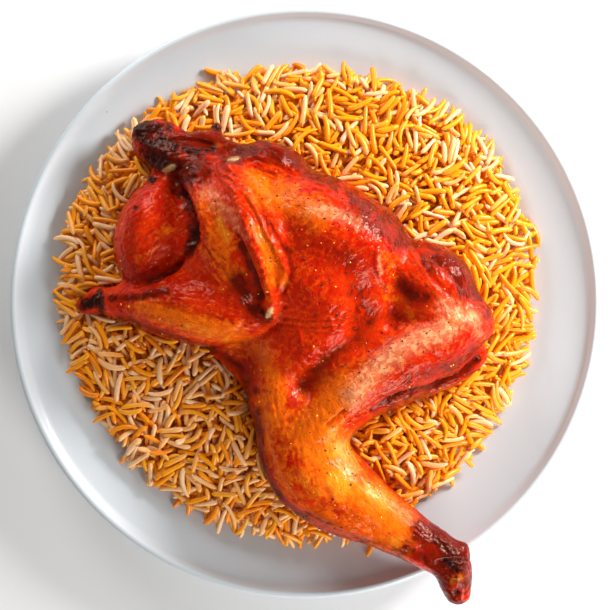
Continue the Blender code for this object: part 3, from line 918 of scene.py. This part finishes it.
class Heap:
    """The growing heap: heights already lying there, and the room left below the chicken."""

    def __init__(self, settings, seed):
        self.axis = np.arange(-MAP_HALF, MAP_HALF + CELL / 2, CELL)
        x, y = np.meshgrid(self.axis, self.axis, indexing="ij")
        share = rice_share(x, y)
        self.target = rice_top(x, y)
        core = np.where(share < CORE_SHARE, core_top(x, y), 0)
        self.height = np.maximum(plate_top(np.hypot(x, y)), core)
        self.low = chicken_cover(self.axis)
        self.hidden = deep_cover(self.low, HIDDEN_REACH)
        self.settings = settings
        self.packed, self.need, self.overfill = 1.0, 0.0, NO_COVER
        self.rng = np.random.default_rng(seed)
        self.grains = []

    def cell(self, x, y):
        i = np.clip(np.rint((x + MAP_HALF) / CELL).astype(int), 0, len(self.axis) - 1)
        j = np.clip(np.rint((y + MAP_HALF) / CELL).astype(int), 0, len(self.axis) - 1)
        return i, j

    def cells_under(self, x, y, cos, sin, along, across):
        """The map's cells under a grid of places along and across a grain."""
        along, across = along[:, None], across[None, :]
        return self.cell(x + along * cos - across * sin, y + along * sin + across * cos)

    def choose_place(self):
        """The neediest of a few random places, and the way its grain points if it is by the edge."""
        angle = self.rng.uniform(0, 2 * math.pi, CHOICES)
        edge = rice_radius(angle)
        radius = FILL_SHARE * edge * np.sqrt(self.rng.uniform(0, 1, CHOICES))
        x, y = radius * np.cos(angle), radius * np.sin(angle)
        i, j = self.cell(x, y)
        need = self.target[i, j] - self.height[i, j] - NO_COVER * self.hidden[i, j]
        best = int(np.argmax(need))
        if need[best] < self.need:
            return None
        yaw = None
        if radius[best] > EDGE_SHARE * edge[best]:
            yaw = angle[best] + self.rng.normal(0, EDGE_SPREAD)
        return x[best], y[best], yaw

    def lay(self, x, y, yaw=None):
        """Lays one grain at a place if the chicken leaves room, and returns whether it did."""
        rng = self.rng
        length = self.settings.length / MM * rng.uniform(*LENGTHS)
        half = self.settings.width / MM / 2 * rng.uniform(*WIDTHS)
        yaw = rng.uniform(0, 2 * math.pi) if yaw is None else yaw
        cos, sin = math.cos(yaw), math.sin(yaw)
        along = np.linspace(-REST_END, REST_END, 9) * length
        across = np.array((-0.5, 0, 0.5)) * half
        i, j = self.cells_under(x, y, cos, sin, along, across)
        middle, slope = rest_line(along, self.height[i, j].max(axis=1))
        lies = middle + slope * along[:, None] + half
        room = middle + half < self.target[self.cell(x, y)] + self.overfill and abs(slope) < STEEPEST
        if not room or (lies + CLEAR * half > self.low[i, j]).any():
            return False
        fine = np.arange(-0.5, 0.5, CELL / length / 1.5) * length
        back = 2 * half * self.packed * np.sqrt(1 - (across[None, :] / half) ** 2)
        under = self.cells_under(x, y, cos, sin, fine, across)
        np.maximum.at(self.height, under, middle + slope * fine[:, None] + back)
        self.grains.append((x, y, middle + half, yaw, slope, length, half))
        return True

    def fill(self, count):
        """Packs the heap up to its surface, then lays the loose grains on top."""
        for packed, need, overfill in ((PACKED, FILL_NEED, OVERFILL), (LOOSE, -LOOSE_RISE, LOOSE_RISE)):
            self.packed, self.need, self.overfill = packed, need, overfill
            goal = len(self.grains) + count
            tries = 0
            while len(self.grains) < goal and tries < TRIES:
                tries += 1
                place = self.choose_place()
                if place:
                    self.lay(*place)
        if len(self.grains) < FEWEST * count:
            raise RuntimeError("The heap has no room for its grains")
        return np.array(self.grains)


# Stray orange grains on the plate: place in view units and degrees up from the view's right
STRAYS = (
    (217, 74, -12),
    (284, 78, -60),
    (534, 232, -66),
    (65, 288, 15),
    (72, 262, -10),
    (130, 455, 40),
    (372, 545, 60),
)

# Laying of the grains: shares of the heap's radius, and heights in mm
CHOICES = 14
TRIES = 16000
FEWEST = 0.17
HIDDEN_REACH = 7.0
FILL_SHARE = 0.965
EDGE_SHARE = 0.9
EDGE_SPREAD = 1.0
FILL_NEED = 0.3
OVERFILL = 2.0
LOOSE_RISE = 2.9
STEEPEST = 0.65

# How much of its thickness a grain adds to the heap
PACKED = 0.38
LOOSE = 0.6

# Core under the grains, in mm
CORE_DROP = 6.6
CORE_SHARE = 0.9
CORE_STEPS = 160
CORE_RINGS = 60
CORE_LIFT = 0.6
CORE_FOOT = 0.15
RIPPLE = 1.1
RIPPLE_SIZE = 2.6
RIPPLE_END = 0.98 * CORE_SHARE

# Grains: range of length and width, where along it a grain rests, its room under the chicken, and its form
LENGTHS = (0.84, 1.14)
WIDTHS = (0.8, 1.15)
REST_END = 0.46
CLEAR = 0.6
GRAIN_SIDES = 6
GRAIN_RINGS = 7
GRAIN_BEND = 2.6
GRAIN_BLUNT = 9
GRAIN_FLAT = 0.86
GRAIN_TAPER = 0.16
RING_CROWD = 1.36
LAST_RING = 0.97

DEEP_ORANGE = (0.9, 0.13, 0.0)
PACKED_YELLOW = (1.0, 0.42, 0.03)


def core_top(x, y):
    """The core's upper face, a few grains below the heap's rest surface."""
    sink = CORE_DROP * np.clip(1.6 * (1 - rice_share(x, y) ** 2), 0.5, 1)
    return np.maximum(rice_top(x, y) - sink, plate_top(np.hypot(x, y)) + CORE_LIFT)


def build_core():
    """The heap under the loose grains, with relief of packed grains on it."""
    verts = []
    faces = []
    shares = np.linspace(0, CORE_SHARE, CORE_RINGS + 1)[1:]
    angles = np.linspace(0, 2 * math.pi, CORE_STEPS, endpoint=False)
    for share in shares:
        for angle in angles:
            radius = share * float(rice_radius(angle))
            x, y = radius * math.cos(angle), radius * math.sin(angle)
            ripple = RIPPLE * noise.noise(Vector((x, y, 0)) / RIPPLE_SIZE) if share < RIPPLE_END else 0
            verts.append((x, y, float(core_top(x, y)) + ripple))
    for angle in angles:
        radius = CORE_SHARE * float(rice_radius(angle))
        foot = float(plate_top(radius)) + CORE_FOOT
        verts.append((radius * math.cos(angle), radius * math.sin(angle), foot))
    for ring in range(CORE_RINGS):
        for k in range(CORE_STEPS):
            a, b = ring * CORE_STEPS + k, ring * CORE_STEPS + (k + 1) % CORE_STEPS
            faces.append((b, a, a + CORE_STEPS, b + CORE_STEPS))
    top, bottom = len(verts), len(verts) + 1
    verts.append((0, 0, float(core_top(0, 0))))
    verts.append((0, 0, WELL_Z + 0.2))
    last = CORE_RINGS * CORE_STEPS
    for k in range(CORE_STEPS):
        faces.append((k, (k + 1) % CORE_STEPS, top))
        faces.append((last + (k + 1) % CORE_STEPS, last + k, bottom))
    return mesh_piece("rice_core", [tuple(c * MM for c in v) for v in verts], faces)


def grain_template():
    """Rows of a unit grain's points: place along it from -1 to 1, and the two offsets across."""
    rows = []
    for t in np.sin(np.linspace(-1, 1, GRAIN_RINGS) * RING_CROWD) / math.sin(RING_CROWD) * LAST_RING:
        swell = (1 - abs(t) ** GRAIN_BLUNT) ** 0.5
        for k in range(GRAIN_SIDES):
            angle = 2 * math.pi * k / GRAIN_SIDES
            rows.append((t, swell * math.cos(angle), GRAIN_FLAT * swell * math.sin(angle)))
    rows.append((-1, 0, 0))
    rows.append((1, 0, 0))
    faces = []
    for ring in range(GRAIN_RINGS - 1):
        for k in range(GRAIN_SIDES):
            a, b = ring * GRAIN_SIDES + k, ring * GRAIN_SIDES + (k + 1) % GRAIN_SIDES
            faces.append((a, b, b + GRAIN_SIDES, a + GRAIN_SIDES))
    first, last = GRAIN_RINGS * GRAIN_SIDES, GRAIN_RINGS * GRAIN_SIDES + 1
    end = (GRAIN_RINGS - 1) * GRAIN_SIDES
    for k in range(GRAIN_SIDES):
        j = (k + 1) % GRAIN_SIDES
        faces.append((j, k, first))
        faces.append((end + k, end + j, last))
    return np.array(rows), faces


def grain_mesh(name, grains, rng):
    """All the grains of one kind as one mesh, with stain and end masks."""
    rows, faces = grain_template()
    count, size = len(grains), len(rows)
    t, across, rise = (rows[None, :, k] for k in range(3))
    x, y, z, yaw, slope, length, half = (grains[:, k][:, None] for k in range(7))
    bend = rng.uniform(-1, 1, (count, 1)) * GRAIN_BEND
    turn = rng.uniform(0, 2 * math.pi, (count, 1))
    taper = 1 + rng.uniform(-GRAIN_TAPER, GRAIN_TAPER, (count, 1)) * t
    along = t * length / 2
    side = across * half * taper + bend * np.cos(turn) * (t**2 - 0.3)
    lift = rise * half * taper + 0.35 * np.abs(bend * np.sin(turn)) * (0.3 - t**2)
    flat = np.cos(np.arctan(slope))
    tilt = np.sin(np.arctan(slope))
    run = along * flat - lift * tilt
    verts = np.stack(
        (
            x + run * np.cos(yaw) - side * np.sin(yaw),
            y + run * np.sin(yaw) + side * np.cos(yaw),
            z + along * tilt + lift * flat,
        ),
        axis=2,
    ).reshape(-1, 3)
    floor = plate_top(np.hypot(verts[:, 0], verts[:, 1])) + 0.05
    verts[:, 2] = np.maximum(verts[:, 2], floor)
    all_faces = [tuple(i + k * size for i in face) for k in range(count) for face in faces]
    piece = mesh_piece(name, (verts * MM).tolist(), all_faces)
    add_mask(piece.data, "stain", np.repeat(rng.uniform(0, 1, count), size))
    ends = np.where(rng.uniform(0, 1, (count, 1)) < 0.5, t, -t) * 0.5 + 0.5
    add_mask(piece.data, "end", np.broadcast_to(ends, (count, size)).ravel())
    return piece


def rice_finish(name, plain, stained, roughness=0.24):
    """Moist cooked rice, each grain with its own depth of stain."""
    shader = Shader(
        name, Subsurface_Weight=0.3, Subsurface_Radius=(1.0, 0.9, 0.8), Subsurface_Scale=0.001, IOR=1.42
    )
    stain = shader.mask("stain") * 0.75 + shader.mask("end") * 0.35 + shader.noise(2.4, 2) * 0.3
    shader.feed("Base Color", shader.mix(stain.ramp(0.25, 1.1), colour(plain), colour(stained)))
    shader.feed("Roughness", roughness + shader.noise(0.9, 2) * 0.14)
    shader.bump(shader.noise(0.5, 2), 0.06)
    return shader


def blend_colours(first, second, share):
    return tuple(a + (b - a) * share for a, b in zip(first, second))


class MANDI_OT_rice(bpy.types.Operator):
    """Lays the heap of grains over its core and under the chicken"""

    bl_idname = "mandi.rice"
    bl_label = "Rice"

    def execute(self, context):
        settings = context.scene.mandi_rice
        heap = Heap(settings, 8)
        for u, v, degrees in STRAYS:
            x, y, _ = plate_place(u, v)
            heap.lay(x, y, math.radians(degrees))
        grains = heap.fill(settings.grains)
        rng = np.random.default_rng(21)
        pick = rng.uniform(0, 1, len(grains))
        pick[: len(STRAYS)] = 0
        right = smoothstep(-70, 60, grains[:, 0] + 0.35 * grains[:, 1])
        patch = noise_at(grains[:, :3], 30.0, 9.0)
        depth = rice_top(grains[:, 0], grains[:, 1]) - grains[:, 2]
        # Orange in patches, and more orange deeper in the heap, as painted shade and bounced glow in the gaps
        # between grains; more yellow to the right, partly saffron stain and partly painted light on the lit
        # side; cream for the rest
        orange_share = 0.18 - 0.02 * right + 0.16 * patch + 0.5 * smoothstep(0.5, 4.0, depth)
        yellow_share = 0.16 + 0.34 * right
        kinds = {
            "rice_orange": pick < orange_share,
            "rice_yellow": (pick >= orange_share) & (pick < orange_share + yellow_share),
            "rice_cream": pick >= orange_share + yellow_share,
        }
        deep = blend_colours(settings.orange, DEEP_ORANGE, 0.25)
        finishes = {
            "rice_orange": rice_finish("orange rice", settings.orange, deep),
            "rice_yellow": rice_finish("yellow rice", settings.yellow, settings.orange),
            "rice_cream": rice_finish("cream rice", settings.cream, settings.yellow),
        }
        for name, chosen in kinds.items():
            dress(grain_mesh(name, grains[chosen], rng), finishes[name], "rice")
        core = build_core()
        under = rice_finish("packed rice", settings.orange, PACKED_YELLOW, 0.6)
        dress(core, under, "rice", "rice")
        return {"FINISHED"}


# Crumbs of spice: name, share of the count, colour, and where they gather, as place and half width
CRUMBS = (
    (
        "pepper_black",
        0.86,
        (0.02, 0.008, 0.005),
        (((430, 330), 45), ((340, 260), 60), ((280, 210), 45), ((350, 480), 50)),
    ),
    ("pepper_yellow", 0.14, (0.85, 0.42, 0.03), (((160, 300), 55), ((300, 250), 60), ((380, 430), 60))),
)
PLATE_CRUMBS = ((107, 112), (359, 82))
CRUMB_STRETCH = (0.6, 1.3)
CRUMB_DENTS = (0.8, 1.2)


def crumb_mesh(name, places, normals, radii, rng):
    """Small uneven lumps pressed half into the surface they lie on."""
    lump = bmesh.new()
    bmesh.ops.create_icosphere(lump, subdivisions=1, radius=1.0)
    corners = np.array([v.co for v in lump.verts])
    faces = [tuple(v.index for v in f.verts) for f in lump.faces]
    lump.free()
    verts = []
    for place, normal, radius in zip(places, normals, radii):
        turn = Vector(normal).to_track_quat("Z", "Y").to_matrix()
        stretch = rng.uniform(*CRUMB_STRETCH, 3) * (1, 1, 0.7)
        uneven = corners * stretch * rng.uniform(*CRUMB_DENTS, (len(corners), 1)) * radius
        verts.append(uneven @ np.array(turn).T + place + normal * radius * 0.25)
    all_faces = [tuple(i + k * len(corners) for i in face) for k in range(len(places)) for face in faces]
    return mesh_piece(name, (np.concatenate(verts) * MM).tolist(), all_faces)


def crumb_finish(name, tone):
    shader = Shader(name, IOR=1.45)
    bright = colour(min(1, c * 2.2) for c in tone)
    shader.feed("Base Color", shader.mix(shader.noise(0.4, 2), colour(tone), bright))
    shader.feed("Roughness", 0.35 + shader.noise(0.3, 1) * 0.3)
    return shader


class MANDI_OT_pepper(bpy.types.Operator):
    """Scatters crumbs of spice over the skin and a few on the plate"""

    bl_idname = "mandi.pepper"
    bl_label = "Pepper"

    def execute(self, context):
        settings = context.scene.mandi_pepper
        rng = np.random.default_rng(34)
        mesh = bpy.data.objects["roast_chicken"].data
        places = vertex_places(mesh)
        normals = vertex_normals(mesh)
        u, v = view_places(places)
        for name, share, tone, patches in CRUMBS:
            chance = np.full(len(places), 0.25)
            for (at_u, at_v), half_width in patches:
                chance += band(np.hypot(u - at_u, v - at_v) / half_width)
            chance *= normals[:, 2] > 0.35
            count = round(settings.crumbs * share)
            chosen = rng.choice(len(places), count, replace=False, p=chance / chance.sum())
            spots, facing = places[chosen], normals[chosen]
            if name == "pepper_black":
                flat = np.array([plate_place(*spot) for spot in PLATE_CRUMBS])
                spots = np.concatenate((spots, flat))
                facing = np.concatenate((facing, np.tile((0.0, 0.0, 1.0), (len(flat), 1))))
            radii = settings.size / MM * rng.uniform(0.6, 1.5, len(spots))
            dress(crumb_mesh(name, spots, facing, radii, rng), crumb_finish(name, tone), "chicken")
        return {"FINISHED"}


SKY = (1.0, 0.94, 0.9)
LENS_MM = 80
FLOOR_HALF = 2.5
FLOOR_Z = -0.0002

# Lights: name, azimuth from +X and elevation in degrees, distance and size in metres, share of the power
LIGHTS = (
    ("key", 32, 27, 0.62, 0.20, 1.0),
    ("front", -62, 25, 0.65, 0.3, 0.5),
    ("left", 120, 25, 0.65, 0.3, 0.34),
)


def add_light(power, name, azimuth, elevation, distance, size, share):
    """A soft round light that faces the middle of the plate."""
    lamp = bpy.data.lights.new(name, "AREA")
    lamp.shape = "DISK"
    lamp.size = size
    lamp.energy = power * share
    holder = bpy.data.objects.new(name, lamp)
    turn, rise = math.radians(azimuth), math.radians(elevation)
    away = Vector((math.cos(turn) * math.cos(rise), math.sin(turn) * math.cos(rise), math.sin(rise)))
    holder.location = away * distance
    holder.rotation_euler = (-away).to_track_quat("-Z", "Y").to_euler()
    bpy.context.scene.collection.objects.link(holder)


class MANDI_OT_stage(bpy.types.Operator):
    """Sets the floor, the soft lights and the camera above the plate"""

    bl_idname = "mandi.stage"
    bl_label = "Stage"

    def execute(self, context):
        settings = context.scene.mandi_stage
        scene = context.scene
        ways = ((-1, -1), (1, -1), (1, 1), (-1, 1))
        corners = [(x * FLOOR_HALF, y * FLOOR_HALF, FLOOR_Z) for x, y in ways]
        floor = mesh_piece("floor", corners, [(0, 1, 2, 3)])
        shader = Shader("pale floor", Base_Color=colour(settings.floor), Roughness=0.8)
        floor.data.materials.append(shader.material)
        for light in LIGHTS:
            add_light(settings.key, *light)
        world = bpy.data.worlds.new("sky")
        world.use_nodes = True
        sky = world.node_tree.nodes["Background"]
        sky.inputs["Color"].default_value = colour(SKY)
        sky.inputs["Strength"].default_value = settings.sky
        scene.world = world
        lens = bpy.data.cameras.new("eye")
        lens.lens = LENS_MM
        lens.sensor_width = 36
        lens.clip_start = 0.01
        eye = bpy.data.objects.new("eye", lens)
        eye.location = Vector(EYE) * MM
        scene.collection.objects.link(eye)
        scene.camera = eye
        scene.view_settings.view_transform = "Standard"
        return {"FINISHED"}


class MANDI_PT_panel(bpy.types.Panel):
    """Lists the pieces of the dish"""

    bl_idname = "MANDI_PT_panel"
    bl_label = "Chicken mandi"
    bl_space_type = "VIEW_3D"
    bl_region_type = "UI"
    bl_category = "Mandi"

    def draw(self, context):
        for operator, group, _, _ in PIECES:
            self.layout.operator(operator)
            settings = getattr(context.scene, group)
            for name in settings.__annotations__:
                self.layout.prop(settings, name)


# Each piece: its operator's name, its settings' name, and their classes
PIECES = (
    ("mandi.plate", "mandi_plate", MANDI_OT_plate, PlateSettings),
    ("mandi.chicken", "mandi_chicken", MANDI_OT_chicken, ChickenSettings),
    ("mandi.rice", "mandi_rice", MANDI_OT_rice, RiceSettings),
    ("mandi.pepper", "mandi_pepper", MANDI_OT_pepper, PepperSettings),
    ("mandi.stage", "mandi_stage", MANDI_OT_stage, StageSettings),
)


def register():
    for _, group, operator, settings in PIECES:
        bpy.utils.register_class(settings)
        setattr(bpy.types.Scene, group, PointerProperty(type=settings))
        bpy.utils.register_class(operator)
    bpy.utils.register_class(MANDI_PT_panel)


def unregister():
    bpy.utils.unregister_class(MANDI_PT_panel)
    for _, group, operator, settings in reversed(PIECES):
        bpy.utils.unregister_class(operator)
        delattr(bpy.types.Scene, group)
        bpy.utils.unregister_class(settings)


def main():
    register()
    bpy.ops.mandi.plate()
    bpy.ops.mandi.chicken()
    bpy.ops.mandi.rice()
    bpy.ops.mandi.pepper()
    bpy.ops.mandi.stage()


if __name__ == "__main__":
    main()
